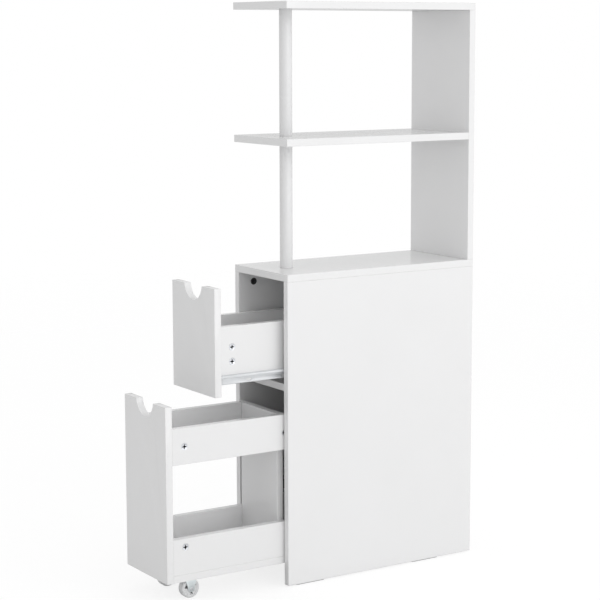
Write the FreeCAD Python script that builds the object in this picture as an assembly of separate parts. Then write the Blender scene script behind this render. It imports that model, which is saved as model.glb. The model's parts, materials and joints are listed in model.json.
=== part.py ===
import FreeCAD, Part
import os

# A narrow bathroom cabinet on the floor: a closed carcass with a shelf unit on top, an inset
# drawer on roller slides, and a two-tray pull-out. The pull-out's front rolls on two fixed
# casters and its back hangs on two rollers that run in channels on the side panels.
# Millimetres. The floor is Z = 0, the front faces -Y and X = 0 is the middle plane.
# The origin is under the middle of the space that the cabinet fills with its drawer and
# pull-out drawn out, which is how it rests.

# Boards of the carcass and the shelf unit
board = 15.0
edge_radius = 0.6
carcass_width = 208.0
carcass_depth = 476.0
side_height = 636.0
bay_height = 259.5
rail_height = 60.0
divider_overlap = 2.0
divider_gap = 1.0
overrun = 1.0

# Thin sheets and the grooves that hold them
sheet = 3.0
groove_depth = 5.0
groove_play = 0.2
back_inset = 12.0

# Pads under the side panels
glide_length = 70.0
glide_width = 12.0
glide_height = 2.0
front_glide_inset = 21.0
rear_glide_inset = 88.0

# Round posts, and the plugs and threaded fixings in their ends
post_radius = 13.35
post_wall = 1.2
post_setback = 63.0
plug_length = 18.0
stud_radius = 4.0
stud_grip = 15.0
stud_floor = 5.0
screw_head_radius = 7.0
screw_head_height = 4.0
screw_hole_play = 0.25

# Inset fronts, as far out as they rest, and their half-round finger notches
front_width = 173.0
pullout_front_share = 0.61
front_reveal = 6.5
top_reveal = 3.5
notch_radius = 36.0
notch_depth = 31.0
drawer_pull = 161.0
pullout_pull = 275.0

# Cam locks, their bolts and wooden dowels
cam_radius = 7.4
cam_floor = 2.5
cam_reach = 22.0
cam_inset = 37.0
cross_width = 1.6
cross_length = 9.0
cross_depth = 1.6
bolt_head_radius = 3.2
bolt_head_length = 3.0
bolt_neck_radius = 2.2
bolt_shank_radius = 3.5
bolt_thread_radius = 3.0
thread_floor = 4.0
slot_play = 0.3
dowel_radius = 4.0
dowel_edge_depth = 19.0
dowel_floor = 5.0
dowel_end_gap = 1.0
dowel_inset = 100.0
fit_play = 0.05
shelf_cam_spread = 60.0
shelf_dowel_spread = 25.0
divider_cam_inset = 45.0
rail_cam_rise = 42.0
rail_dowel_rise = 18.0

# Drawer box
drawer_depth = 300.0
drawer_side_height = 117.3
drawer_lift = 17.2
drawer_bottom_rise = 8.0
drawer_cam_reach = 31.5
drawer_cam_rise = 45.1
drawer_cam_pitch = 29.6
drawer_screw_inset = 28.0

# Roller slides
slide_sheet = 1.2
slide_play = 1.8
drawer_web_height = 20.0
drawer_ledge = 11.0
roller_radius = 8.0
roller_width = 5.0
roller_play = 1.4
lip_play = 1.5
roll_gap = 0.3
channel_gap = 0.5
flange_play = 0.8
drawer_pin_rise = 4.0
drawer_pin_inset = 12.0
cabinet_pin_inset = 10.0
channel_relief = 2.0
tab_rise = 6.0
pin_radius = 2.0
pin_shoulder_radius = 3.0
pin_head = 0.6
pin_end_gap = 0.1
slide_screw_inset = 45.0

# Pan-head screws in the slides and under the caster plates, and long countersunk board screws
pan_radius = 3.2
pan_height = 2.0
pan_shank_radius = 1.8
pan_grip = 11.0
sunk_radius = 5.0
sunk_height = 3.5
sunk_shank_radius = 3.2
sunk_grip = 30.0

# Pull-out
pullout_depth = 283.0
upper_tray_drop = 45.5
tray_side_height = 74.0
tray_bottom_rise = 6.0
pullout_cam_reach = 27.5
lower_cam_drop = 17.5
upper_cam_drop = 38.0
tray_dowel_rise = 18.0
base_dowel_inset = 60.0
base_dowel_spread = 40.0

# Guide channels on the side panels, and the roller brackets on the pull-out's back board
guide_length = 312.0
bracket_sheet = 1.5
bracket_width = 34.0
bracket_height = 36.0
bracket_reach = 36.0
ear_half_height = 10.0
guide_pin_reach = 26.0
bracket_screw_inset = 8.0

# Fixed casters
wheel_radius = 20.0
wheel_width = 18.0
tread_round = 3.0
wheel_dish_radius = 14.0
wheel_dish_depth = 1.5
hub_radius = 6.0
wheel_headroom = 5.0
plate_thickness = 2.0
plate_length = 47.0
leg_thickness = 1.5
leg_top_length = 29.0
leg_tip_radius = 7.0
fork_play = 1.0
axle_radius = 2.5
axle_head_radius = 4.0
axle_head_height = 1.5
plate_screw_inset = 5.0
plate_screw_spread = 6.5
caster_spread = 47.0
caster_inset = 55.5

# Heights
caster_height = 2 * wheel_radius + wheel_headroom + plate_thickness
panel_foot = glide_height
side_top = panel_foot + side_height
body_top = side_top + board
middle_under = body_top + bay_height
middle_top = middle_under + board
shelf_under = middle_top + bay_height
shelf_top = shelf_under + board
pullout_top = caster_height + pullout_front_share * (side_top - caster_height)
divider_under = pullout_top - divider_overlap
divider_top = divider_under + board
drawer_foot = divider_top + drawer_lift
drawer_rim = drawer_foot + drawer_side_height
base_top = caster_height + board
lower_rim = base_top + tray_side_height
upper_rim = pullout_top - upper_tray_drop
upper_foot = upper_rim - tray_side_height
guide_z = (lower_rim + upper_foot) / 2

# Widths from the middle plane
half_width = carcass_width / 2
inner_half = half_width - board
front_half = front_width / 2
tray_half = front_half - board
roller_start = slide_sheet + roller_play
roller_end = roller_start + roller_width
lip_outer = roller_end + roller_play + slide_sheet
slide_gap = lip_outer + slide_play + slide_sheet
drawer_half = inner_half - slide_gap
channel_width = slide_gap - slide_sheet - flange_play
drawer_inner = drawer_half - board

# Depths
front_y = (pullout_pull - carcass_depth) / 2
back_y = front_y + carcass_depth
panel_y = back_y - board
back_sheet_y = back_y - back_inset - sheet
divider_y = front_y + board + divider_gap
drawer_y = front_y - drawer_pull
drawer_side_y = drawer_y + board
drawer_end_y = drawer_side_y + drawer_depth
pullout_y = front_y - pullout_pull
tray_y = pullout_y + board
pullout_end_y = pullout_y + pullout_depth
pullout_back_y = pullout_end_y - board

right = FreeCAD.Vector(1, 0, 0)
rear = FreeCAD.Vector(0, 1, 0)
up = FreeCAD.Vector(0, 0, 1)
sides = {"left": -1, "right": 1}

boards = {}
hollows = {}
fittings = {}


def point(x, y, z):
    return FreeCAD.Vector(x, y, z)


def block(x0, x1, y0, y1, z0, z1):
    low_x, high_x = sorted((x0, x1))
    return Part.makeBox(high_x - low_x, y1 - y0, z1 - z0, point(low_x, y0, z0))


def rod(radius, start, direction, length):
    return Part.makeCylinder(radius, length, start, direction)


def fused(shapes):
    return shapes[0].multiFuse(shapes[1:]).removeSplitter()


def add_board(name, x0, x1, y0, y1, z0, z1):
    plain = block(x0, x1, y0, y1, z0, z1)
    boards[name] = plain.makeFillet(edge_radius, plain.Edges)
    hollows[name] = []


def add_front(name, y0, z0, z1):
    # An inset front board with a half-round finger notch in its top edge
    plain = block(-front_half, front_half, y0, y0 + board, z0, z1)
    centre = point(0, y0 - overrun, z1 - notch_depth + notch_radius)
    notched = plain.cut(rod(notch_radius, centre, rear, board + 2 * overrun))
    boards[name] = notched.makeFillet(edge_radius, notched.Edges)
    hollows[name] = []


def add_sheet(name, x0, x1, y0, y1, z0, z1):
    boards[name] = block(x0, x1, y0, y1, z0, z1)
    hollows[name] = []


def groove(names, x0, x1, y0, y1, z0, z1):
    for name in names:
        hollows[name].append(block(x0, x1, y0, y1, z0, z1))


def drill(name, radius, start, direction, length):
    hollows[name].append(rod(radius + fit_play, start, direction, length))


def add_fitting(name, shape):
    fittings.setdefault(name, []).append(shape)


def cam_cross(face, inward, along):
    # The driver's cross in a cam's face: one bar along its bolt and one across it
    across = inward.cross(along)
    bars = []
    for direction, other in ((along, across), (across, along)):
        start = face - direction * (cross_length / 2) - other * (cross_width / 2) - inward * overrun
        corners = [start]
        corners.append(start + direction * cross_length)
        corners.append(corners[1] + other * cross_width)
        corners.append(start + other * cross_width)
        outline = Part.Face(Part.makePolygon(corners + [start]))
        bars.append(outline.extrude(inward * (cross_depth + overrun)))
    return bars


def cam_joint(group, holder, mate, face, inward, toward, reach):
    # A cam lock let into the holder's face pulls on a bolt screwed into the mating board
    cam_depth = board - cam_floor
    level = face + inward * (board / 2)
    joint = level + toward * reach
    grip = board - thread_floor
    hollows[holder].append(
        rod(cam_radius + fit_play, face - inward * overrun, inward, cam_depth + fit_play + overrun)
    )
    drill(holder, bolt_shank_radius, level, toward, reach + overrun)
    drill(mate, bolt_thread_radius, joint - toward * overrun, toward, grip + fit_play + overrun)
    head_start = level - toward * (bolt_head_length / 2)
    slot = rod(bolt_head_radius + slot_play, head_start - toward * slot_play, toward, reach)
    cam = rod(cam_radius, face, inward, cam_depth).cut(cam_cross(face, inward, toward) + [slot])
    shank_start = level + toward * cam_radius
    bolt = fused(
        [
            rod(bolt_head_radius, head_start, toward, bolt_head_length),
            rod(bolt_neck_radius, level, toward, cam_radius),
            rod(bolt_shank_radius, shank_start, toward, reach - cam_radius),
            rod(bolt_thread_radius, joint, toward, grip),
        ]
    )
    add_fitting(group + "_cam_locks", cam)
    add_fitting(group + "_cam_bolts", bolt)


def dowel_joint(group, edge_board, face_board, joint, toward):
    # A wooden dowel from the end of one board into the face of another
    face_depth = board - dowel_floor
    start = joint - toward * dowel_edge_depth
    drill(edge_board, dowel_radius, start - toward * dowel_end_gap, toward,
          dowel_edge_depth + dowel_end_gap + overrun)
    drill(face_board, dowel_radius, joint - toward * overrun, toward,
          face_depth + dowel_end_gap + overrun)
    add_fitting(group + "_dowels", rod(dowel_radius, start, toward, dowel_edge_depth + face_depth))


def sunk_screw(name, outer, inner, face, toward):
    # A countersunk screw through the outer board into the end of the inner one
    cone = Part.makeCone(sunk_radius, sunk_shank_radius, sunk_height, face, toward)
    shank_start = face + toward * sunk_height
    shank = rod(sunk_shank_radius, shank_start, toward, board + sunk_grip - sunk_height)
    hollows[outer] += [cone, rod(sunk_shank_radius, shank_start, toward, board)]
    drill(inner, sunk_shank_radius, face + toward * (board - overrun), toward, sunk_grip + overrun)
    across = toward.cross(up if abs(toward.z) < abs(toward.x) + abs(toward.y) else right)
    add_fitting(name, cone.fuse(shank).removeSplitter().cut(cam_cross(face, toward, across)))


def pan_screw(name, holder, face, toward, through):
    # A pan-head screw on a steel face, through the steel into a board
    head = rod(pan_radius, face - toward * pan_height, toward, pan_height)
    shank = rod(pan_shank_radius, face, toward, through + pan_grip)
    drill(holder, pan_shank_radius, face + toward * (through - overrun), toward,
          pan_grip + fit_play + overrun)
    add_fitting(name, head.fuse(shank).removeSplitter())


def make_carcass():
    for side, sign in sides.items():
        name = side + "_side_panel"
        add_board(name, sign * inner_half, sign * half_width, front_y, back_y, panel_foot, side_top)
        for start in (front_y + front_glide_inset, back_y - rear_glide_inset - glide_length):
            middle = sign * (half_width - board / 2)
            pad = block(middle - glide_width / 2, middle + glide_width / 2,
                        start, start + glide_length, 0, glide_height)
            add_fitting("floor_glides", pad)
    add_board("body_top_board", -half_width, half_width, front_y, back_y, side_top, body_top)
    add_board("divider_board", -inner_half, inner_half, divider_y, back_sheet_y,
              divider_under, divider_top)
    add_board("rear_bottom_rail", -inner_half, inner_half, back_sheet_y - board, back_sheet_y,
              panel_foot, panel_foot + rail_height)
    reach = inner_half + groove_depth - groove_play
    add_sheet("lower_back_panel", -reach, reach, back_sheet_y, back_sheet_y + sheet,
              panel_foot, side_top + groove_depth - groove_play)
    groove(["left_side_panel", "right_side_panel", "body_top_board"],
           -inner_half - groove_depth, inner_half + groove_depth,
           back_sheet_y, back_sheet_y + sheet + groove_play,
           panel_foot - overrun, side_top + groove_depth)


def make_shelf_unit():
    add_board("tall_back_panel", -half_width, half_width, panel_y, back_y, body_top, shelf_under)
    add_board("middle_shelf", -half_width, half_width, front_y, panel_y, middle_under, middle_top)
    add_board("top_shelf", -half_width, half_width, front_y, back_y, shelf_under, shelf_top)


def join_carcass():
    for side, sign in sides.items():
        panel = side + "_side_panel"
        outward = right * sign
        edge_x = sign * (half_width - board / 2)
        for y in (front_y + cam_inset, back_y - cam_inset):
            face = point(sign * inner_half, y, side_top - cam_reach)
            cam_joint("carcass", panel, "body_top_board", face, outward, up, cam_reach)
        for y in (front_y + dowel_inset, back_y - dowel_inset):
            dowel_joint("carcass", panel, "body_top_board", point(edge_x, y, side_top), up)
        for y in (divider_y + divider_cam_inset, back_sheet_y - divider_cam_inset):
            face = point(sign * (inner_half - cam_reach), y, divider_under)
            cam_joint("carcass", "divider_board", panel, face, up, outward, cam_reach)
        for y in (divider_y + dowel_inset, back_sheet_y - dowel_inset):
            joint = point(sign * inner_half, y, divider_under + board / 2)
            dowel_joint("carcass", "divider_board", panel, joint, outward)
        face = point(sign * (inner_half - cam_reach), back_sheet_y - board, panel_foot + rail_cam_rise)
        cam_joint("carcass", "rear_bottom_rail", panel, face, rear, outward, cam_reach)
        joint = point(sign * inner_half, back_sheet_y - board / 2, panel_foot + rail_dowel_rise)
        dowel_joint("carcass", "rear_bottom_rail", panel, joint, outward)


def join_shelf_unit():
    panel = "tall_back_panel"
    for sign in sides.values():
        cam_x = sign * shelf_cam_spread
        dowel_x = sign * shelf_dowel_spread
        lower = point(cam_x, back_y, body_top + cam_reach)
        cam_joint("carcass", panel, "body_top_board", lower, -rear, -up, cam_reach)
        upper = point(cam_x, back_y, shelf_under - cam_reach)
        cam_joint("carcass", panel, "top_shelf", upper, -rear, up, cam_reach)
        under = point(cam_x, panel_y - cam_reach, middle_under)
        cam_joint("carcass", "middle_shelf", panel, under, up, rear, cam_reach)
        panel_middle = back_y - board / 2
        dowel_joint("carcass", panel, "body_top_board", point(dowel_x, panel_middle, body_top), -up)
        dowel_joint("carcass", panel, "top_shelf", point(dowel_x, panel_middle, shelf_under), up)
        joint = point(dowel_x, panel_y, middle_under + board / 2)
        dowel_joint("carcass", "middle_shelf", panel, joint, rear)


def make_posts():
    post_y = front_y + post_setback
    bore_radius = post_radius - post_wall
    for name, foot in (("lower_post", body_top), ("upper_post", middle_top)):
        tube = rod(post_radius, point(0, post_y, foot), up, bay_height)
        bore = rod(bore_radius, point(0, post_y, foot), up, bay_height)
        add_fitting(name, tube.cut(bore))
        for plug_foot in (foot, foot + bay_height - plug_length):
            base = point(0, post_y, plug_foot)
            plug = rod(bore_radius - fit_play, base, up, plug_length)
            hole = rod(stud_radius + fit_play, base, up, plug_length)
            add_fitting("post_end_plugs", plug.cut(hole))
    foot_hole = stud_radius + screw_hole_play
    hollows["body_top_board"].append(
        rod(foot_hole, point(0, post_y, side_top - overrun), up, board + 2 * overrun)
    )
    drill("middle_shelf", stud_radius, point(0, post_y, middle_under - overrun), up, board + 2 * overrun)
    stud_depth = board - stud_floor
    drill("top_shelf", stud_radius, point(0, post_y, shelf_under - overrun), up,
          stud_depth + fit_play + overrun)
    head = rod(screw_head_radius, point(0, post_y, side_top), -up, screw_head_height)
    shank = rod(stud_radius, point(0, post_y, side_top), up, board + stud_grip)
    add_fitting("post_fixings", head.fuse(shank).removeSplitter())
    middle_start = point(0, post_y, middle_under - stud_grip)
    add_fitting("post_fixings", rod(stud_radius, middle_start, up, board + 2 * stud_grip))
    top_start = point(0, post_y, shelf_under - stud_grip)
    add_fitting("post_fixings", rod(stud_radius, top_start, up, stud_grip + stud_depth))


def make_drawer():
    add_front("drawer_front", drawer_y, pullout_top + front_reveal, side_top - top_reveal)
    for side, sign in sides.items():
        add_board("drawer_" + side + "_side", sign * drawer_inner, sign * drawer_half,
                  drawer_side_y, drawer_end_y, drawer_foot, drawer_rim)
    add_board("drawer_back", -drawer_inner, drawer_inner, drawer_end_y - board, drawer_end_y,
              drawer_foot, drawer_rim)
    reach = drawer_inner + groove_depth
    sheet_foot = drawer_foot + drawer_bottom_rise
    near_y = drawer_side_y - groove_depth
    far_y = drawer_end_y - board + groove_depth
    add_sheet("drawer_bottom", groove_play - reach, reach - groove_play, near_y + groove_play,
              far_y - groove_play, sheet_foot, sheet_foot + sheet)
    groove(["drawer_front", "drawer_left_side", "drawer_right_side", "drawer_back"],
           -reach, reach, near_y, far_y, sheet_foot, sheet_foot + sheet + groove_play)
    for side, sign in sides.items():
        name = "drawer_" + side + "_side"
        outer_x = sign * drawer_half
        for step in range(2):
            face = point(outer_x, drawer_side_y + drawer_cam_reach,
                         drawer_foot + drawer_cam_rise + step * drawer_cam_pitch)
            cam_joint("drawer", name, "drawer_front", face, -right * sign, -rear, drawer_cam_reach)
        for z in (drawer_foot + drawer_screw_inset, drawer_rim - drawer_screw_inset):
            face = point(outer_x, drawer_end_y - board / 2, z)
            sunk_screw("drawer_back_screws", name, "drawer_back", face, -right * sign)


def make_channel(sign, length, roof_y, pin_z):
    # A steel channel on a side panel, in which a roller runs with its pin at pin_z
    track_top = pin_z - roller_radius - roll_gap
    track_foot = track_top - slide_sheet
    roof_foot = pin_z + roller_radius + channel_gap
    roof_top = roof_foot + slide_sheet
    wall_x = sign * inner_half
    web_x = sign * (inner_half - slide_sheet)
    lip_x = sign * (inner_half - channel_width)
    end_y = divider_y + length
    channel = fused(
        [
            block(web_x, wall_x, divider_y, end_y, track_foot, roof_top),
            block(lip_x, wall_x, divider_y, end_y, track_foot, track_top),
            block(lip_x, wall_x, roof_y, end_y, roof_foot, roof_top),
        ]
    )
    panel = "left_side_panel" if sign < 0 else "right_side_panel"
    screw_span = (length - 2 * slide_screw_inset) / 2
    for step in range(3):
        face = point(web_x, divider_y + slide_screw_inset + step * screw_span, pin_z)
        pan_screw("cabinet_slide_screws", panel, face, right * sign, slide_sheet)
        channel = channel.cut(rod(pan_shank_radius + fit_play, face, right * sign, slide_sheet))
    return channel


def make_roller(name, sign, pin_y, pin_z):
    start = point(sign * (drawer_half + roller_start), pin_y, pin_z)
    disc = rod(roller_radius, start, right * sign, roller_width)
    add_fitting(name, disc.cut(rod(pin_radius + fit_play, start, right * sign, roller_width)))


def make_pin(name, fixed, toward, seat, roller_gap):
    # A pin riveted into a sheet, with a shoulder up to its roller and a head behind the roller
    head_start = roller_gap + roller_width + pin_end_gap
    shoulder = roller_gap - pin_end_gap - seat
    add_fitting(name, fused(
        [
            rod(pin_radius, fixed, toward, head_start + pin_head),
            rod(pin_shoulder_radius, fixed + toward * seat, toward, shoulder),
            rod(pin_shoulder_radius, fixed + toward * head_start, toward, pin_head),
        ]
    ))


def make_slides():
    # Each drawer member hangs on the drawer's lower edge and runs over the cabinet roller.
    # Its own roller runs in the channel that is screwed to the side panel.
    ledge_foot = drawer_foot - slide_sheet
    flange_top = ledge_foot + drawer_web_height
    cabinet_pin_z = flange_top - slide_sheet - roll_gap - roller_radius
    lip_foot = cabinet_pin_z + pin_shoulder_radius + lip_play
    drawer_pin_z = ledge_foot + drawer_pin_rise
    cabinet_pin_y = divider_y + cabinet_pin_inset
    roof_y = cabinet_pin_y + roller_radius + channel_relief
    drawer_pin_y = drawer_end_y - drawer_pin_inset

    for side, sign in sides.items():
        outward = right * sign
        inner_x = sign * (drawer_half - drawer_ledge)
        face_x = sign * drawer_half
        web_x = sign * (drawer_half + slide_sheet)
        lip_x = sign * (drawer_half + lip_outer)
        member = fused(
            [
                block(inner_x, web_x, drawer_side_y, drawer_end_y, ledge_foot, drawer_foot),
                block(face_x, web_x, drawer_side_y, drawer_end_y, ledge_foot, flange_top),
                block(face_x, lip_x, drawer_side_y, drawer_end_y, flange_top - slide_sheet, flange_top),
                block(lip_x - sign * slide_sheet, lip_x, drawer_side_y, drawer_end_y,
                      lip_foot, flange_top),
            ]
        )
        drawer_pin = point(face_x, drawer_pin_y, drawer_pin_z)
        cuts = [rod(pin_radius + fit_play, drawer_pin, outward, slide_sheet)]
        screw_span = (drawer_depth - 2 * slide_screw_inset) / 2
        for step in range(3):
            face = point(sign * (drawer_half - board / 2),
                         drawer_side_y + slide_screw_inset + step * screw_span, ledge_foot)
            pan_screw("drawer_slide_screws", "drawer_" + side + "_side", face, up, slide_sheet)
            cuts.append(rod(pan_shank_radius + fit_play, face, up, slide_sheet))
        add_fitting(side + "_drawer_slide", member.cut(cuts))

        wall_x = sign * inner_half
        tab = block(wall_x - sign * slide_sheet, wall_x, divider_y, roof_y,
                    drawer_pin_z, cabinet_pin_z + tab_rise)
        cabinet_pin = point(wall_x, cabinet_pin_y, cabinet_pin_z)
        hole = rod(pin_radius + fit_play, cabinet_pin, -outward, slide_sheet)
        channel = make_channel(sign, drawer_depth, roof_y, drawer_pin_z)
        add_fitting(side + "_cabinet_slide", fused([channel, tab]).cut(hole))

        make_roller(side + "_cabinet_roller", sign, cabinet_pin_y, cabinet_pin_z)
        make_roller(side + "_drawer_roller", sign, drawer_pin_y, drawer_pin_z)
        make_pin("cabinet_roller_pins", cabinet_pin, -outward, slide_sheet, slide_gap - roller_end)
        make_pin("drawer_roller_pins", drawer_pin, outward, slide_sheet, roller_start)


def make_guides():
    # The pull-out's back hangs on a roller at each side, on an angle bracket behind its back board
    pin_y = pullout_end_y + guide_pin_reach
    roller_gap = drawer_half + roller_start - tray_half + bracket_sheet
    for side, sign in sides.items():
        outward = right * sign
        stop = block(sign * inner_half, sign * (inner_half - channel_width),
                     divider_y, divider_y + slide_sheet,
                     guide_z - roller_radius - roll_gap, guide_z + roller_radius + channel_gap)
        channel = make_channel(sign, guide_length, divider_y, guide_z)
        add_fitting(side + "_guide_channel", fused([channel, stop]))
        edge_x = sign * tray_half
        ear_x = sign * (tray_half - bracket_sheet)
        flange_x = sign * (tray_half - bracket_width)
        plate_y = pullout_end_y + bracket_sheet
        ear_y = pullout_end_y + bracket_reach - ear_half_height
        bracket = fused(
            [
                block(flange_x, edge_x, pullout_end_y, plate_y,
                      guide_z - bracket_height / 2, guide_z + bracket_height / 2),
                block(ear_x, edge_x, pullout_end_y, ear_y,
                      guide_z - ear_half_height, guide_z + ear_half_height),
                rod(ear_half_height, point(ear_x, ear_y, guide_z), outward, bracket_sheet),
            ]
        )
        pin = point(ear_x, pin_y, guide_z)
        cuts = [rod(pin_radius + fit_play, pin, outward, bracket_sheet)]
        for x in (flange_x + sign * bracket_screw_inset, edge_x - sign * 2 * bracket_screw_inset):
            for z in (-1, 1):
                height = guide_z + z * (bracket_height / 2 - bracket_screw_inset)
                face = point(x, plate_y, height)
                pan_screw("pullout_pan_screws", "pullout_back", face, -rear, bracket_sheet)
                cuts.append(rod(pan_shank_radius + fit_play, face, -rear, bracket_sheet))
        add_fitting("guide_brackets", bracket.cut(cuts))
        make_roller(side + "_guide_roller", sign, pin_y, guide_z)
        make_pin("guide_roller_pins", pin, outward, bracket_sheet, roller_gap)


def make_pullout():
    add_front("pullout_front", pullout_y, caster_height, pullout_top)
    add_board("pullout_base", -front_half, front_half, tray_y, pullout_end_y, caster_height, base_top)
    add_board("pullout_back", -tray_half, tray_half, pullout_back_y, pullout_end_y, base_top, upper_rim)
    for side, sign in sides.items():
        for tier, foot, rim in (("lower", base_top, lower_rim), ("upper", upper_foot, upper_rim)):
            add_board(tier + "_tray_" + side + "_side", sign * tray_half, sign * front_half,
                      tray_y, pullout_end_y, foot, rim)
    reach = tray_half + groove_depth
    sheet_foot = upper_foot + tray_bottom_rise
    near_y = tray_y - groove_depth
    far_y = pullout_back_y + groove_depth
    add_sheet("upper_tray_bottom", groove_play - reach, reach - groove_play, near_y + groove_play,
              far_y - groove_play, sheet_foot, sheet_foot + sheet)
    groove(["pullout_front", "upper_tray_left_side", "upper_tray_right_side", "pullout_back"],
           -reach, reach, near_y, far_y, sheet_foot, sheet_foot + sheet + groove_play)
    join_pullout()


def join_pullout():
    back_middle = pullout_end_y - board / 2
    for side, sign in sides.items():
        inward = -right * sign
        edge_x = sign * (front_half - board / 2)
        for tier, cam_z, dowel_z in (
            ("lower", lower_rim - lower_cam_drop, base_top + tray_dowel_rise),
            ("upper", upper_rim - upper_cam_drop, upper_foot + tray_dowel_rise),
        ):
            name = tier + "_tray_" + side + "_side"
            face = point(sign * front_half, tray_y + pullout_cam_reach, cam_z)
            cam_joint("pullout", name, "pullout_front", face, inward, -rear, pullout_cam_reach)
            dowel_joint("pullout", name, "pullout_front", point(edge_x, tray_y, dowel_z), -rear)
            if tier == "upper":
                face = point(sign * front_half, back_middle, cam_z)
                sunk_screw("pullout_screws", name, "pullout_back", face, inward)
            else:
                joint = point(sign * tray_half, back_middle, cam_z)
                dowel_joint("pullout", "pullout_back", name, joint, -inward)
        for y in (tray_y + base_dowel_inset, pullout_back_y - base_dowel_inset):
            joint = point(edge_x, y, base_top)
            dowel_joint("pullout", "lower_tray_" + side + "_side", "pullout_base", joint, -up)
        joint = point(sign * base_dowel_spread, tray_y, caster_height + board / 2)
        dowel_joint("pullout", "pullout_base", "pullout_front", joint, -rear)
        face = point(sign * base_dowel_spread, back_middle, caster_height)
        sunk_screw("pullout_screws", "pullout_base", "pullout_back", face, up)


def make_wheel(centre):
    foot = centre - right * (wheel_width / 2)
    tyre = rod(wheel_radius, foot, right, wheel_width)
    rims = [edge for edge in tyre.Edges if len(edge.Vertexes) == 1]
    tyre = tyre.makeFillet(tread_round, rims)
    cuts = [rod(axle_radius + fit_play, foot, right, wheel_width)]
    for start in (foot, foot + right * (wheel_width - wheel_dish_depth)):
        dish = rod(wheel_dish_radius, start, right, wheel_dish_depth)
        cuts.append(dish.cut(rod(hub_radius, start, right, wheel_dish_depth)))
    return tyre.cut(cuts)


def make_fork(centre):
    # A pressed top plate with two legs that narrow to the axle
    gap = wheel_width / 2 + fork_play
    plate_half = gap + leg_thickness
    plate_foot = caster_height - plate_thickness
    plate = block(centre.x - plate_half, centre.x + plate_half,
                  centre.y - plate_length / 2, centre.y + plate_length / 2, plate_foot, caster_height)
    pieces = [plate]
    for leg_x in (centre.x - plate_half, centre.x + gap):
        tops = [point(leg_x, centre.y + offset, plate_foot) for offset in
                (-leg_top_length / 2, leg_top_length / 2)]
        tips = [point(leg_x, centre.y + offset, centre.z) for offset in
                (-leg_tip_radius, leg_tip_radius)]
        tip_arc = Part.Arc(tips[0], point(leg_x, centre.y, centre.z - leg_tip_radius), tips[1])
        outline = Part.Wire(
            [
                Part.makeLine(tops[0], tips[0]),
                tip_arc.toShape(),
                Part.makeLine(tips[1], tops[1]),
                Part.makeLine(tops[1], tops[0]),
            ]
        )
        pieces.append(Part.Face(outline).extrude(right * leg_thickness))
    fork = fused(pieces)
    start = centre - right * (plate_half + overrun)
    return fork.cut(rod(axle_radius + fit_play, start, right, 2 * (plate_half + overrun)))


def make_casters():
    gap = wheel_width / 2 + fork_play
    plate_half = gap + leg_thickness
    screw_y = plate_length / 2 - plate_screw_inset
    for side, sign in sides.items():
        centre = point(sign * caster_spread, tray_y + caster_inset, wheel_radius)
        add_fitting(side + "_caster_wheel", make_wheel(centre))
        fork = make_fork(centre)
        for dx in (-plate_screw_spread, plate_screw_spread):
            for dy in (-screw_y, screw_y):
                face = point(centre.x + dx, centre.y + dy, caster_height - plate_thickness)
                pan_screw("pullout_pan_screws", "pullout_base", face, up, plate_thickness)
                fork = fork.cut(rod(pan_shank_radius + fit_play, face, up, plate_thickness))
        add_fitting("caster_forks", fork)
        ends = [centre - right * (plate_half + axle_head_height), centre + right * plate_half]
        heads = [rod(axle_head_radius, end, right, axle_head_height) for end in ends]
        axle = rod(axle_radius, centre - right * plate_half, right, 2 * plate_half)
        add_fitting("caster_axles", fused([axle] + heads))


def write_parts():
    os.makedirs("parts", exist_ok=True)
    shapes = dict(fittings)
    for name, shape in boards.items():
        shapes[name] = [shape.cut(hollows[name]) if hollows[name] else shape]
    for name, solids in sorted(shapes.items()):
        shape = solids[0] if len(solids) == 1 else Part.makeCompound(solids)
        shape.exportStep("parts/" + name + ".step")
        print(name, len(shape.Solids), "solids", round(shape.Volume), "mm3")


make_carcass()
make_shelf_unit()
join_carcass()
join_shelf_unit()
make_posts()
make_drawer()
make_slides()
make_pullout()
make_guides()
make_casters()
write_parts()
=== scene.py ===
import json
import math

import bpy
from mathutils import Matrix, Vector


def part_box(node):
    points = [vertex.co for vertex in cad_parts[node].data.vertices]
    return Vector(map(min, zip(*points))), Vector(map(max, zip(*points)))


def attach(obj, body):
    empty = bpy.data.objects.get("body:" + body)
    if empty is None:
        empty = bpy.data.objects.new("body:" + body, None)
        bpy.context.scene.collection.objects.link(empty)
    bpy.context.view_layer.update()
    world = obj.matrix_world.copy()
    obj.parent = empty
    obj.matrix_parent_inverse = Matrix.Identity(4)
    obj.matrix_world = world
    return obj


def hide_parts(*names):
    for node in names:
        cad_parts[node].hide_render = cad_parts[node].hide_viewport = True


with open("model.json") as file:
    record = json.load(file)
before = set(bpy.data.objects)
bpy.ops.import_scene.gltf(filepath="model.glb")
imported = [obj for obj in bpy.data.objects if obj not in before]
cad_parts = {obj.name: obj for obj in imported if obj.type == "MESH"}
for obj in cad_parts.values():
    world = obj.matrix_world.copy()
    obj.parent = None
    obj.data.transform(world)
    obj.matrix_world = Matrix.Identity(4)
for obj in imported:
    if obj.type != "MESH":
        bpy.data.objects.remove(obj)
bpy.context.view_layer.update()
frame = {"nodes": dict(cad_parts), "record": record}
nodes = frame["nodes"]
print("frame loaded,", len(nodes), "nodes")

xAxis = Vector((1, 0, 0))
yAxis = Vector((0, 1, 0))
zAxis = Vector((0, 0, 1))
hair = 0.00001  # how near counts as the same place when edges and faces are picked
sliver = 0.000002  # edges shorter than this are closed up on a finished piece
steep = 0.9  # a normal with this much of an axis in it looks along that axis
sides = {"left": -1, "right": 1}
mirrorX = Matrix.Scale(-1, 4, xAxis)


# modelling moves that every piece uses

def leaveEdit():
    bpy.ops.object.mode_set(mode="OBJECT")


def clearSelection():
    if bpy.context.mode != "OBJECT":
        leaveEdit()
    bpy.ops.object.select_all(action="DESELECT")


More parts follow.
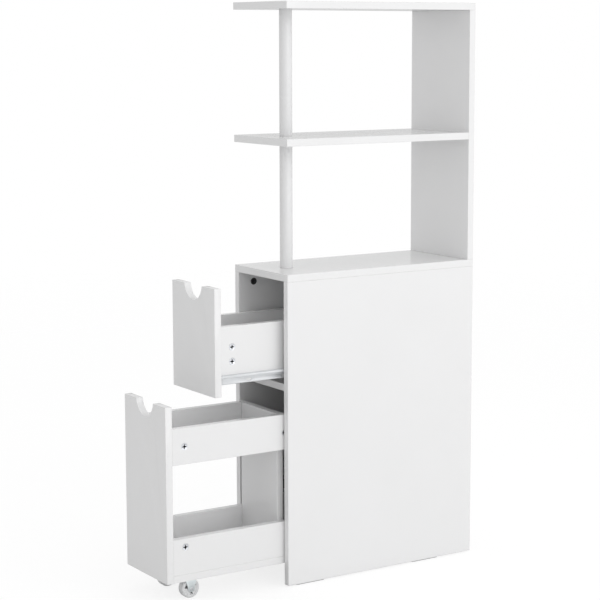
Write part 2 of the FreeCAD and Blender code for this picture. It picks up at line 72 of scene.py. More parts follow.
def onlyActive(piece):
    clearSelection()
    piece.select_set(True)
    bpy.context.view_layer.objects.active = piece


def settle(name):
    # names the new object and moves its place into its mesh
    piece = bpy.context.object
    piece.name = name
    piece.data.name = name
    bpy.ops.object.transform_apply(location=True, rotation=True, scale=True)
    return piece


def addBlock(name, low, high):
    clearSelection()
    low, high = Vector(low), Vector(high)
    bpy.ops.mesh.primitive_cube_add(size=1, location=(low + high) / 2, scale=high - low)
    return settle(name)


def addRod(name, centre, axis, radius, length, steps=48, ends="NGON"):
    clearSelection()
    turn = zAxis.rotation_difference(Vector(axis)).to_euler()
    bpy.ops.mesh.primitive_cylinder_add(vertices=steps, radius=radius, depth=length,
                                        end_fill_type=ends, location=centre, rotation=turn)
    return settle(name)


def addStrip(name, x0, x1, y0, y1, z):
    clearSelection()
    bpy.ops.mesh.primitive_plane_add(size=1, location=((x0 + x1) / 2, (y0 + y1) / 2, z))
    bpy.context.object.scale = (abs(x1 - x0), y1 - y0, 1)
    return settle(name)


def editAll(piece):
    # goes into edit mode with the whole mesh selected
    onlyActive(piece)
    bpy.ops.object.mode_set(mode="EDIT")
    bpy.ops.mesh.select_all(action="SELECT")


def pick(piece, kind, test):
    # goes into edit mode with the parts of the mesh selected that pass the test
    onlyActive(piece)
    bpy.ops.object.mode_set(mode="EDIT")
    bpy.ops.mesh.select_mode(type=kind)
    bpy.ops.mesh.select_all(action="DESELECT")
    leaveEdit()
    mesh = piece.data
    if kind == "VERT":
        for vert in mesh.vertices:
            vert.select = test(vert.co)
    elif kind == "EDGE":
        for edge in mesh.edges:
            edge.select = test(*[mesh.vertices[i].co for i in edge.vertices])
    else:
        for face in mesh.polygons:
            face.select = test(face.center, face.normal)
    bpy.ops.object.mode_set(mode="EDIT")


def inset(amount, depth=0.0):
    bpy.ops.mesh.inset(thickness=amount, depth=depth)


def extrude(offset):
    bpy.ops.mesh.extrude_region_move(TRANSFORM_OT_translate={"value": offset})


def roundPicked(width, steps):
    bpy.ops.mesh.bevel(offset=width, segments=steps, affect="EDGES")


def useModifier(piece, kind, **settings):
    onlyActive(piece)
    modifier = piece.modifiers.new(kind.lower(), kind)
    for key, value in settings.items():
        setattr(modifier, key, value)
    bpy.ops.object.modifier_apply(modifier=modifier.name)


def easeEdges(piece, width, steps=2, angle=40):
    useModifier(piece, "BEVEL", width=width, segments=steps, limit_method="ANGLE",
                angle_limit=math.radians(angle))


def combine(piece, others, how):
    for other in others:
        useModifier(piece, "BOOLEAN", operation=how, object=other, solver="EXACT")
        bpy.data.objects.remove(other)


def joinAll(name, pieces):
    clearSelection()
    for piece in pieces:
        piece.select_set(True)
    bpy.context.view_layer.objects.active = pieces[0]
    if len(pieces) > 1:
        bpy.ops.object.join()
    return settle(name)


def copyTo(piece, name, matrix):
    twin = piece.copy()
    twin.data = piece.data.copy()
    twin.name = name
    twin.data.name = name
    bpy.context.scene.collection.objects.link(twin)
    twin.data.transform(matrix)
    if matrix.determinant() < 0:
        twin.data.flip_normals()
    return twin


def facing(place, normal):
    # a model that looks up +Z at the origin is turned to look along normal at place
    turn = Vector(normal).to_track_quat("Z", "Y").to_matrix().to_4x4()
    return Matrix.Translation(Vector(place)) @ turn


def spread(model, name, places):
    # copies a fastener to each place and joins the copies
    return joinAll(name, [copyTo(model, name, facing(place, normal)) for place, normal in places])


def middleOf(node):
    low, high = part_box(node)
    return (low + high) / 2


def finish(piece, body, finishMaterial, replaced, angle=35):
    editAll(piece)
    bpy.ops.mesh.dissolve_degenerate(threshold=sliver)
    leaveEdit()
    bpy.ops.object.shade_smooth_by_angle(angle=math.radians(angle))
    piece.data.materials.clear()
    piece.data.materials.append(finishMaterial)
    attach(piece, body)
    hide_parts(*replaced)


def finishPair(piece, name, body, finishMaterial, node, angle=35):
    # the modelled piece is the right one, and its mirror image goes on the left
    for side, twin in (("right", piece), ("left", copyTo(piece, "left" + name, mirrorX))):
        finish(twin, body or side + "_" + node, finishMaterial, [side + "_" + node], angle)


# finishes
cloudLook = {"detail": 3.0, "roughness": 0.55, "from": 0.3, "to": 0.7}
bandLook = {"band": 0.0009, "line": 0.00018, "wear": 0.0016}
brushLook = {"scale": 1.0, "detail": 3.0, "roughness": 0.6, "from": 0.25, "to": 0.75}


def addNode(tree, kind, inputs=None, **settings):
    node = tree.nodes.new(kind)
    for key, value in settings.items():
        setattr(node, key, value)
    for key, value in (inputs or {}).items():
        if isinstance(value, bpy.types.NodeSocket):
            tree.links.new(value, node.inputs[key])
        else:
            node.inputs[key].default_value = value
    return node


def valueMath(tree, how, *values):
    return addNode(tree, "ShaderNodeMath", dict(enumerate(values)), operation=how).outputs[0]


def vectorMath(tree, how, *values):
    return addNode(tree, "ShaderNodeVectorMath", dict(enumerate(values)), operation=how).outputs[0]


def newGroup(name, ins, outs):
    tree = bpy.data.node_groups.new(name, "ShaderNodeTree")
    for label, kind in ins:
        tree.interface.new_socket(name=label, in_out="INPUT", socket_type="NodeSocket" + kind)
    for label, kind in outs:
        tree.interface.new_socket(name=label, in_out="OUTPUT", socket_type="NodeSocket" + kind)
    return tree, addNode(tree, "NodeGroupInput").outputs, addNode(tree, "NodeGroupOutput").inputs


def makeMottle():
    # soft cloudy variation between two values
    tree, given, out = newGroup(
        "mottle",
        [("Vector", "Vector"), ("Scale", "Float"), ("Detail", "Float"), ("Low", "Float"),
         ("High", "Float")],
        [("Value", "Float")],
    )
    cloud = addNode(tree, "ShaderNodeTexNoise", {
        "Vector": given["Vector"], "Scale": given["Scale"], "Detail": given["Detail"],
        "Roughness": cloudLook["roughness"]})
    spreadOut = addNode(tree, "ShaderNodeMapRange", {
        "Value": cloud.outputs[0], "From Min": cloudLook["from"], "From Max": cloudLook["to"],
        "To Min": given["Low"], "To Max": given["High"]})
    tree.links.new(spreadOut.outputs[0], out["Value"])
    return tree


def makeBoardEdges():
    # where a board's edge band meets its faces, and how near a point is to an arris
    tree, given, out = newGroup(
        "boardEdges",
        [("Vector", "Vector"), ("Low", "Vector"), ("High", "Vector"), ("Thin", "Vector")],
        [("Seam", "Float"), ("Arris", "Float")],
    )
    fromLow = vectorMath(tree, "SUBTRACT", given["Vector"], given["Low"])
    fromHigh = vectorMath(tree, "SUBTRACT", given["High"], given["Vector"])
    nearest = vectorMath(tree, "MINIMUM", fromLow, fromHigh)
    inPlane = vectorMath(tree, "ADD", nearest, given["Thin"])
    across = addNode(tree, "ShaderNodeSeparateXYZ", {0: inPlane}).outputs
    lines = [valueMath(tree, "COMPARE", gap, bandLook["band"], bandLook["line"] / 2) for gap in across]
    seam = valueMath(tree, "MAXIMUM", valueMath(tree, "MAXIMUM", lines[0], lines[1]), lines[2])
    tree.links.new(seam, out["Seam"])
    # the second smallest of the three distances is the way to the nearest arris
    a, b, c = addNode(tree, "ShaderNodeSeparateXYZ", {0: nearest}).outputs
    lower = valueMath(tree, "MINIMUM", a, b)
    upper = valueMath(tree, "MAXIMUM", a, b)
    second = valueMath(tree, "MAXIMUM", lower, valueMath(tree, "MINIMUM", upper, c))
    arris = addNode(tree, "ShaderNodeMapRange", {
        "Value": second, "From Min": 0.0, "From Max": bandLook["wear"], "To Min": 1.0, "To Max": 0.0})
    tree.links.new(arris.outputs[0], out["Arris"])
    return tree


def makeBrushing():
    # fine lines that run along the axis with the small stretch
    tree, given, out = newGroup("brushing", [("Vector", "Vector"), ("Stretch", "Vector")],
                                [("Value", "Float")])
    drawn = vectorMath(tree, "MULTIPLY", given["Vector"], given["Stretch"])
    lines = addNode(tree, "ShaderNodeTexNoise", {
        "Vector": drawn, "Scale": brushLook["scale"], "Detail": brushLook["detail"],
        "Roughness": brushLook["roughness"]})
    tree.links.new(lines.outputs[0], out["Value"])
    return tree


mottleGroup = makeMottle()
boardEdgesGroup = makeBoardEdges()
brushingGroup = makeBrushing()


def newFinish(name):
    material = bpy.data.materials.new(name)
    material.use_nodes = True
    tree = material.node_tree
    place = addNode(tree, "ShaderNodeTexCoord").outputs["Object"]
    return material, tree, tree.nodes["Principled BSDF"], place


def mottle(tree, place, scale, low=0.0, high=1.0, detail=cloudLook["detail"]):
    node = addNode(tree, "ShaderNodeGroup", {"Vector": place, "Scale": scale, "Detail": detail,
                                             "Low": low, "High": high}, node_tree=mottleGroup)
    return node.outputs["Value"]


def brushing(tree, place, stretch):
    node = addNode(tree, "ShaderNodeGroup", {"Vector": place, "Stretch": stretch}, node_tree=brushingGroup)
    return node.outputs["Value"]


def blendColours(tree, amount, first, second):
    # a Mix node's colour sockets share their names with its other sockets, so they go by number
    first, second = [(*tone, 1) if isinstance(tone, (tuple, list)) else tone for tone in (first, second)]
    return addNode(tree, "ShaderNodeMix", {0: amount, 6: first, 7: second}, data_type="RGBA").outputs[2]


def bump(tree, shader, height, depth, strength):
    node = addNode(tree, "ShaderNodeBump", {"Height": height, "Distance": depth, "Strength": strength})
    tree.links.new(node.outputs[0], shader.inputs["Normal"])


boardLook = {
    "white": (0.85, 0.85, 0.853), "cloud": (0.838, 0.838, 0.84), "seam": (0.76, 0.76, 0.755),
    "worn": (0.8, 0.8, 0.795), "gloss": (0.05, 0.09), "cloudScale": 7.0, "smearScale": 11.0,
    "smearDetail": 5.0, "rubScale": 90.0, "grainScale": 1500.0, "grainDetail": 1.0, "grainDepth": 0.00002,
    "grainStrength": 0.06, "seamGroove": -0.6,
}


def boardFinish(node):
    # glossy white board with a banded edge, set out from the board's own corners
    low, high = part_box(node)
    reach = list(high - low)
    thin = [0.0, 0.0, 0.0]
    thin[reach.index(min(reach))] = 1.0
    material, tree, shader, place = newFinish(node + "Finish")
    edges = addNode(tree, "ShaderNodeGroup", {"Vector": place, "Low": low, "High": high, "Thin": thin},
                    node_tree=boardEdgesGroup).outputs
    clouds = mottle(tree, place, boardLook["cloudScale"])
    tone = blendColours(tree, clouds, boardLook["white"], boardLook["cloud"])
    wear = valueMath(tree, "MULTIPLY", edges["Arris"], mottle(tree, place, boardLook["rubScale"]))
    tone = blendColours(tree, wear, tone, boardLook["worn"])
    tone = blendColours(tree, edges["Seam"], tone, boardLook["seam"])
    tree.links.new(tone, shader.inputs["Base Color"])
    smear = mottle(tree, place, boardLook["smearScale"], *boardLook["gloss"], boardLook["smearDetail"])
    tree.links.new(smear, shader.inputs["Roughness"])
    grain = mottle(tree, place, boardLook["grainScale"], detail=boardLook["grainDetail"])
    height = valueMath(tree, "MULTIPLY_ADD", edges["Seam"], boardLook["seamGroove"], grain)
    bump(tree, shader, height, boardLook["grainDepth"], boardLook["grainStrength"])
    return material


def plainFinish(name, look):
    # cloudy colour, uneven gloss and a fine grain, for foil, paint and moulded plastic
    material, tree, shader, place = newFinish(name)
    clouds = mottle(tree, place, look["cloudScale"])
    tree.links.new(blendColours(tree, clouds, look["light"], look["dark"]), shader.inputs["Base Color"])
    tree.links.new(mottle(tree, place, look["smearScale"], *look["gloss"]), shader.inputs["Roughness"])
    bump(tree, shader, mottle(tree, place, look["grainScale"]), look["grainDepth"], look["grain"])
    return material


def metalFinish(name, look):
    # rolled or cast metal: lines along the stretch, blotchy plating and a worn gloss
    material, tree, shader, place = newFinish(name)
    brush = brushing(tree, place, look["stretch"])
    mixed = valueMath(tree, "MULTIPLY", brush, mottle(tree, place, look["cloudScale"]))
    tone = blendColours(tree, mixed, look["light"], look["dark"])
    # painted shade: faces marked as recessed take the dark recess colour, shade painted into cross slots
    # and holes
    if "recessShade" in look:
        mark = addNode(tree, "ShaderNodeAttribute", attribute_name="recessShade").outputs["Fac"]
        tone = blendColours(tree, mark, tone, look["recessShade"])
    tree.links.new(tone, shader.inputs["Base Color"])
    shader.inputs["Metallic"].default_value = look["metal"]
    gloss = addNode(tree, "ShaderNodeMapRange", {
        "Value": brush, "From Min": brushLook["from"], "From Max": brushLook["to"],
        "To Min": look["gloss"][0], "To Max": look["gloss"][1]})
    tree.links.new(gloss.outputs[0], shader.inputs["Roughness"])
    bump(tree, shader, brush, look["grainDepth"], look["grain"])
    return material


def woodFinish(name, look):
    # beech: stretched pores and a slow change of tone
    material, tree, shader, place = newFinish(name)
    brush = brushing(tree, place, look["stretch"])
    tree.links.new(blendColours(tree, brush, look["light"], look["dark"]), shader.inputs["Base Color"])
    tree.links.new(mottle(tree, place, look["cloudScale"], *look["gloss"]), shader.inputs["Roughness"])
    bump(tree, shader, brush, look["grainDepth"], look["grain"])
    return material


finishes = {
    "foil": plainFinish("sheetFoil", {
        "light": (0.82, 0.82, 0.825), "dark": (0.79, 0.79, 0.79), "cloudScale": 9.0, "smearScale": 14.0,
        "gloss": (0.28, 0.36), "grainScale": 400.0, "grainDepth": 0.00003, "grain": 0.06}),
    "post": plainFinish("postPowder", {
        "light": (0.8, 0.8, 0.803), "dark": (0.785, 0.785, 0.789), "cloudScale": 12.0, "smearScale": 30.0,
        "gloss": (0.2, 0.28), "grainScale": 1600.0, "grainDepth": 0.00002, "grain": 0.08}),
    "plug": plainFinish("plugPlastic", {
        "light": (0.7, 0.7, 0.7), "dark": (0.63, 0.63, 0.63), "cloudScale": 60.0, "smearScale": 80.0,
        "gloss": (0.4, 0.55), "grainScale": 1500.0, "grainDepth": 0.00005, "grain": 0.3}),
    "nylon": plainFinish("rollerNylon", {
        "light": (0.8, 0.8, 0.78), "dark": (0.7, 0.7, 0.67), "cloudScale": 160.0, "smearScale": 220.0,
        "gloss": (0.35, 0.5), "grainScale": 2200.0, "grainDepth": 0.00003, "grain": 0.3}),
    "wheel": plainFinish("wheelPlastic", {
        "light": (0.8, 0.805, 0.81), "dark": (0.7, 0.705, 0.71), "cloudScale": 70.0, "smearScale": 120.0,
        "gloss": (0.3, 0.48), "grainScale": 1800.0, "grainDepth": 0.00005, "grain": 0.3}),
    "glide": plainFinish("glidePlastic", {
        "light": (0.5, 0.5, 0.5), "dark": (0.38, 0.38, 0.38), "cloudScale": 120.0, "smearScale": 120.0,
        "gloss": (0.5, 0.7), "grainScale": 1500.0, "grainDepth": 0.00008, "grain": 0.4}),
    "slide": metalFinish("slideZinc", {
        "light": (0.8, 0.815, 0.83), "dark": (0.7, 0.72, 0.74), "cloudScale": 40.0, "gloss": (0.5, 0.66),
        "metal": 0.45, "stretch": (900.0, 12.0, 900.0), "grainDepth": 0.00003, "grain": 0.25}),
    "fork": metalFinish("forkZinc", {
        "light": (0.84, 0.89, 0.9), "dark": (0.66, 0.73, 0.75), "cloudScale": 130.0, "gloss": (0.26, 0.4),
        "metal": 1.0, "stretch": (500.0, 500.0, 60.0), "grainDepth": 0.00003, "grain": 0.25}),
    # the near-black recess colours of the screw and cam finishes are painted shade for their cross slots
    "screw": metalFinish("screwZinc", {
        "light": (0.75, 0.76, 0.78), "dark": (0.5, 0.51, 0.53), "recessShade": (0.06, 0.06, 0.065),
        "cloudScale": 300.0, "gloss": (0.22, 0.4), "metal": 1.0, "stretch": (700.0, 700.0, 700.0),
        "grainDepth": 0.00003, "grain": 0.25}),
    "cam": metalFinish("camZinc", {
        "light": (0.86, 0.88, 0.91), "dark": (0.55, 0.57, 0.61), "recessShade": (0.012, 0.012, 0.014),
        "cloudScale": 260.0, "gloss": (0.3, 0.48), "metal": 1.0, "stretch": (800.0, 800.0, 800.0),
        "grainDepth": 0.00005, "grain": 0.35}),
    # the carcass cams are near-black while the other cams are bright zinc: partly a dark cam finish,
    # partly painted shade for cams that stand in the cabinet's shade
    "darkCamAndShade": plainFinish("camDarkAndShade", {
        "light": (0.05, 0.05, 0.052), "dark": (0.025, 0.025, 0.025), "cloudScale": 260.0,
        "smearScale": 300.0, "gloss": (0.3, 0.5), "grainScale": 1600.0, "grainDepth": 0.00005,
        "grain": 0.4}),
    # painted shade: the guide brackets are near-black so that the gap beside the pull-out, where they sit,
    # reads as a black shaded slit
    "bracket": plainFinish("bracketBlack", {
        "light": (0.035, 0.035, 0.036), "dark": (0.022, 0.022, 0.022), "cloudScale": 90.0,
        "smearScale": 140.0, "gloss": (0.45, 0.6), "grainScale": 1600.0, "grainDepth": 0.00004,
        "grain": 0.4}),
    "beech": woodFinish("dowelBeech", {
        "light": (0.56, 0.37, 0.2), "dark": (0.4, 0.24, 0.12), "cloudScale": 200.0, "gloss": (0.5, 0.7),
        "stretch": (1400.0, 1400.0, 60.0), "grainDepth": 0.0001, "grain": 0.4}),
}
cadFinishes = {
    "white_sheet": "foil", "plug_plastic": "plug", "screw_steel": "screw", "dowel_wood": "beech",
    "slide_steel": "slide", "fork_steel": "fork", "silver_cam": "cam", "dark_cam": "darkCamAndShade",
    "roller_nylon": "nylon", "wheel_plastic": "wheel", "glide_plastic": "glide", "post_paint": "post",
    "bracket_paint": "bracket",
}
boardFinishes = {}
for entry in frame["record"]["subparts"]:
    node, slot = entry["node"], entry["material_slot"]
    if slot == "white_board":
        boardFinishes[node] = boardFinish(node)
    chosen = boardFinishes.get(node) or finishes[cadFinishes[slot]]
    nodes[node].data.materials.clear()
    nodes[node].data.materials.append(chosen)
print("finishes made,", len(finishes) + len(boardFinishes))


# notched fronts
frontShape = {"radius": 0.036, "depth": 0.031, "steps": 128, "through": 3, "ease": 0.0009, "easeSteps": 3}


def makeFront(name, node, body):
    low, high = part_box(node)
    board = addBlock(name, low, high)
    centre = (0, (low.y + high.y) / 2, high.z - frontShape["depth"] + frontShape["radius"])
    cutter = addRod("notchCutter", centre, yAxis, frontShape["radius"],
                    frontShape["through"] * (high.y - low.y), frontShape["steps"])
    combine(board, [cutter], "DIFFERENCE")
    easeEdges(board, frontShape["ease"], frontShape["easeSteps"])
    finish(board, body, boardFinishes[node], [node])


makeFront("drawerFront", "drawer_front", "drawer")
makeFront("pulloutFront", "pullout_front", "pullout")
print("fronts made")


# round posts
postShape = {"wall": 0.0012, "ease": 0.0004, "steps": 96}


def makePost(name, node):
    low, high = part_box(node)
    tube = addRod(name, (low + high) / 2, zAxis, (high.y - low.y) / 2, high.z - low.z, postShape["steps"],
                  "NOTHING")
    useModifier(tube, "SOLIDIFY", thickness=postShape["wall"], offset=-1)
    easeEdges(tube, postShape["ease"])
    finish(tube, "carcass", finishes["post"], [node])


makePost("lowerPost", "lower_post")
makePost("upperPost", "upper_post")
print("posts made")


# floor pads
glideShape = {"length": 0.07, "width": 0.012, "corner": 0.004, "cornerSteps": 4, "ease": 0.0005,
              "frontInset": 0.021, "rearInset": 0.088}


def makeGlides():
    low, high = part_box("right_side_panel")
    left = (low.x + high.x - glideShape["width"]) / 2
    start = low.y + glideShape["frontInset"]
    front = addBlock("pad", (left, start, 0),
                     (left + glideShape["width"], start + glideShape["length"], low.z))
    pick(front, "EDGE", lambda a, b: abs(a.z - b.z) > hair)
    roundPicked(glideShape["corner"], glideShape["cornerSteps"])
    easeEdges(front, glideShape["ease"])
    rearStart = high.y - glideShape["rearInset"] - glideShape["length"]
    rear = copyTo(front, "pad", Matrix.Translation((0, rearStart - start, 0)))
    pads = [front, rear] + [copyTo(pad, "pad", mirrorX) for pad in (front, rear)]
    finish(joinAll("floorPads", pads), "carcass", finishes["glide"], ["floor_glides"])


makeGlides()
print("floor pads made")


# cam locks and screws, each modelled once at the origin with its face looking up
camShape = {"radius": 0.00727, "depth": 0.0125, "steps": 64, "rim": 0.0008, "sink": 0.0005,
            "crossLength": 0.0104, "crossWidth": 0.0036, "crossTip": 0.36, "crossDepth": 0.004,
            "arrow": 0.0011, "arrowOut": 0.0052, "arrowSteps": 3, "ease": 0.00012}
screwShape = {"sunkHead": 0.005, "sunkNeck": 0.0032, "sunkHeight": 0.0035, "sunkLength": 0.045,
              "sunkSteps": 40, "sunkEase": 0.0001, "sunkShade": 0.0002,
              "panHead": 0.0032, "panHeight": 0.002, "panDome": 0.0011, "panNeck": 0.0018,
              "panLength": 0.0122, "panSteps": 36, "domeSteps": 4, "panShare": 0.62,
              "crossLength": 0.0056, "crossWidth": 0.0012, "crossDepth": 0.0018}


def crossCutters(length, width, depth, tip=1.0):
    # two crossed bars, drawn in towards their ends where tip is below one
    bars = []
    for turn in (0, math.pi / 2):
        bar = addBlock("crossBar", (-length / 2, -width / 2, -depth), (length / 2, width / 2, depth))
        editAll(bar)
        bpy.ops.mesh.bisect(plane_co=(0, 0, 0), plane_no=(1, 0, 0))
        pick(bar, "VERT", lambda place: abs(place.x) > length / 4)  # its two ends
        bpy.ops.transform.resize(value=(1, tip, 1), center_override=(0, 0, 0))
        leaveEdit()
        bar.data.transform(Matrix.Rotation(turn, 4, "Z"))
        bars.append(bar)
    return bars


def markShadedRecess(piece, level):
    # a value of one on every face below the level, read by the finish as painted shade in slots and
    # hollows
    mark = piece.data.attributes.new("recessShade", "FLOAT", "FACE")
    for face in piece.data.polygons:
        mark.data[face.index].value = 1.0 if face.center.z < level else 0.0


def modelCam():
    cam = addRod("camModel", (0, 0, -camShape["depth"] / 2), zAxis, camShape["radius"], camShape["depth"],
                 camShape["steps"])
    pick(cam, "FACE", lambda centre, normal: normal.z > steep)
    inset(camShape["rim"])
    inset(camShape["sink"] / 2, -camShape["sink"])
    leaveEdit()
    cutters = crossCutters(camShape["crossLength"], camShape["crossWidth"], camShape["crossDepth"],
                           camShape["crossTip"])
    outward = camShape["arrowOut"] / math.sqrt(2)
    cutters.append(addRod("arrow", (outward, outward, -camShape["sink"]), zAxis, camShape["arrow"],
                          2 * camShape["sink"], camShape["arrowSteps"]))
    combine(cam, cutters, "DIFFERENCE")
    easeEdges(cam, camShape["ease"], 1)
    markShadedRecess(cam, -2 * camShape["sink"])
    return cam


def modelSunkScrew():
    height = screwShape["sunkHeight"]
    screw = addRod("sunkModel", (0, 0, -height / 2), zAxis, screwShape["sunkHead"], height,
                   screwShape["sunkSteps"])
    pick(screw, "VERT", lambda place: place.z < -height / 2)
    shrink = screwShape["sunkNeck"] / screwShape["sunkHead"]
    bpy.ops.transform.resize(value=(shrink, shrink, 1), center_override=(0, 0, -height))
    pick(screw, "FACE", lambda centre, normal: normal.z < -steep)
    extrude((0, 0, height - screwShape["sunkLength"]))
    leaveEdit()
    cutters = crossCutters(screwShape["crossLength"], screwShape["crossWidth"], screwShape["crossDepth"])
    combine(screw, cutters, "DIFFERENCE")
    easeEdges(screw, screwShape["sunkEase"], 1)
    markShadedRecess(screw, -screwShape["sunkShade"])
    return screw


def modelPanScrew():
    height = screwShape["panHeight"]
    screw = addRod("panModel", (0, 0, height / 2), zAxis, screwShape["panHead"], height,
                   screwShape["panSteps"])
    pick(screw, "EDGE", lambda a, b: min(a.z, b.z) > height - hair)
    roundPicked(screwShape["panDome"], screwShape["domeSteps"])
    pick(screw, "FACE", lambda centre, normal: normal.z < -steep)
    inset(screwShape["panHead"] - screwShape["panNeck"])
    extrude((0, 0, -screwShape["panLength"]))
    leaveEdit()
    share = screwShape["panShare"]
    cutters = crossCutters(screwShape["crossLength"] * share, screwShape["crossWidth"] * share,
                           screwShape["crossDepth"] * share)
    for cutter in cutters:
        cutter.data.transform(Matrix.Translation((0, 0, height)))
    combine(screw, cutters, "DIFFERENCE")
    markShadedRecess(screw, 0.0)
    return screw


models = {"cam": modelCam(), "sunk": modelSunkScrew(), "pan": modelPanScrew()}

# where the joints are, measured from the corners of the boards that hold them
drawerJoints = {"camReach": 0.0315, "camRise": 0.0451, "camPitch": 0.0296, "cams": 2, "screwInset": 0.028,
                "half": 0.0075}
pulloutJoints = {"camReach": 0.0275, "drops": {"upper": 0.038, "lower": 0.0175}, "baseSpread": 0.04,
                 "half": 0.0075}
carcassJoints = {"inset": 0.037, "reach": 0.022, "dividerInset": 0.045, "railRise": 0.042, "spread": 0.06}


def placeDrawerFasteners():
    cams, screws = [], []
    for side, sign in sides.items():
        low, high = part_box("drawer_" + side + "_side")
        face = high.x if sign > 0 else low.x
        for step in range(drawerJoints["cams"]):
            rise = drawerJoints["camRise"] + step * drawerJoints["camPitch"]
            cams.append(((face, low.y + drawerJoints["camReach"], low.z + rise), xAxis * sign))
        for z in (low.z + drawerJoints["screwInset"], high.z - drawerJoints["screwInset"]):
            screws.append(((face, high.y - drawerJoints["half"], z), xAxis * sign))
    finish(spread(models["cam"], "drawerCamLocks", cams), "drawer", finishes["cam"],
           ["drawer_cam_locks"])
    finish(spread(models["sunk"], "drawerBackScrews", screws), "drawer",
           finishes["screw"], ["drawer_back_screws"])


def placePulloutFasteners():
    cams, screws = [], []
    for side, sign in sides.items():
        for tier in ("upper", "lower"):
            low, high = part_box(tier + "_tray_" + side + "_side")
            face = high.x if sign > 0 else low.x
            z = high.z - pulloutJoints["drops"][tier]
            cams.append(((face, low.y + pulloutJoints["camReach"], z), xAxis * sign))
            if tier == "upper":  # dowels hold the lower sides
                screws.append(((face, high.y - pulloutJoints["half"], z), xAxis * sign))
        low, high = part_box("pullout_base")
        x = sign * pulloutJoints["baseSpread"]
        screws.append(((x, high.y - pulloutJoints["half"], low.z), -zAxis))
    finish(spread(models["cam"], "pulloutCamLocks", cams), "pullout", finishes["cam"],
           ["pullout_cam_locks"])
    finish(spread(models["sunk"], "pulloutScrews", screws), "pullout",
           finishes["screw"], ["pullout_screws"])


def placeCarcassCams():
    cams = []
    reach = carcassJoints["reach"]
    for side, sign in sides.items():
        low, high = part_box(side + "_side_panel")
        face = low.x if sign > 0 else high.x
        for y in (low.y + carcassJoints["inset"], high.y - carcassJoints["inset"]):
            cams.append(((face, y, high.z - reach), -xAxis * sign))
        low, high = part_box("divider_board")
        for y in (low.y + carcassJoints["dividerInset"], high.y - carcassJoints["dividerInset"]):
            cams.append(((sign * (high.x - reach), y, low.z), -zAxis))
        low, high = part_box("rear_bottom_rail")
        cams.append(((sign * (high.x - reach), low.y, low.z + carcassJoints["railRise"]), -yAxis))
        low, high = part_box("tall_back_panel")
        for z in (low.z + reach, high.z - reach):
            cams.append(((sign * carcassJoints["spread"], high.y, z), yAxis))
        low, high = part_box("middle_shelf")
        cams.append(((sign * carcassJoints["spread"], high.y - reach, low.z), -zAxis))
    # near-black carcass cams: partly a dark finish, partly painted shade
    finish(spread(models["cam"], "carcassCamLocks", cams), "carcass", finishes["darkCamAndShade"],
           ["carcass_cam_locks"])


placeDrawerFasteners()
placePulloutFasteners()
placeCarcassCams()
print("cam locks and board screws made")


# roller slides, folded from a strip; paths follow the middle of the sheet
slideShape = {"sheet": 0.0012, "bend": 0.0011, "bendSteps": 3, "hole": 0.0022, "slotLength": 0.012,
              "slotWidth": 0.005, "holeSteps": 24, "through": 4, "ease": 0.00012, "firstScrew": 0.045,
              "tabLength": 0.02, "channelHeight": 0.0192, "lip": 0.0044, "smooth": 50,
              "memberSlots": (0.22, 0.5, 0.78), "memberSlotRise": 0.3, "channelSlots": (0.3, 0.7, 0.93)}


def roundFolds(piece, corners):
    # rounds the fold lines that run along Y through the given (x, z) corners
    def onFold(a, b):
        if abs(a.y - b.y) < hair:
            return False
        return any(abs(a.x - x) + abs(a.z - z) < hair for x, z in corners) and abs(a.x - b.x) < hair

    pick(piece, "EDGE", onFold)
    roundPicked(slideShape["bend"], slideShape["bendSteps"])
    leaveEdit()


def holeCutter(centre, through, radius=slideShape["hole"]):
    length = slideShape["through"] * slideShape["sheet"]
    return addRod("hole", centre, through, radius, length, slideShape["holeSteps"])


def slotCutter(centre, along, through):
    cutter = holeCutter(centre, through, slideShape["slotWidth"] / 2)
    middle = Vector(centre)
    pick(cutter, "VERT", lambda place: (place - middle).dot(along) > hair)
    bpy.ops.transform.translate(value=along * (slideShape["slotLength"] - slideShape["slotWidth"]))
    leaveEdit()
    return cutter


def finishSheet(piece, cutters):
    editAll(piece)
    bpy.ops.mesh.normals_make_consistent(inside=False)
    leaveEdit()
    useModifier(piece, "SOLIDIFY", thickness=slideShape["sheet"], offset=0)
    combine(piece, cutters, "DIFFERENCE")
    easeEdges(piece, slideShape["ease"], 1, slideShape["smooth"])


def screwStops(low, high):
    # three screws, the outer two at the same inset
    first, last = low + slideShape["firstScrew"], high - slideShape["firstScrew"]
    return [first, (first + last) / 2, last]


def makeDrawerSlides():
    # ledge under the drawer side, web up its face, flange over the cabinet roller and a lip
    low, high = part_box("right_drawer_slide")
    half = slideShape["sheet"] / 2
    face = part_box("drawer_right_side")[1].x
    web, lip = face + half, high.x - half
    foot, top = low.z + half, high.z - half
    strip = addStrip("rightDrawerSlide", low.x, web, low.y, high.y, foot)
    pick(strip, "EDGE", lambda a, b: min(a.x, b.x) > web - hair)
    extrude((0, 0, top - foot))
    extrude((lip - web, 0, 0))
    extrude((0, 0, -slideShape["lip"]))
    roundFolds(strip, [(web, foot), (web, top), (lip, top)])
    line = face - drawerJoints["half"]
    cutters = [holeCutter((line, y, foot), zAxis) for y in screwStops(low.y, high.y)]
    rise = slideShape["memberSlotRise"] * (top - foot)
    for share in slideShape["memberSlots"]:
        cutters.append(slotCutter((web, low.y + share * (high.y - low.y), foot + rise), yAxis, xAxis))
    finishSheet(strip, cutters)
    finishPair(strip, "DrawerSlide", "drawer", finishes["slide"], "drawer_slide",
               slideShape["smooth"])


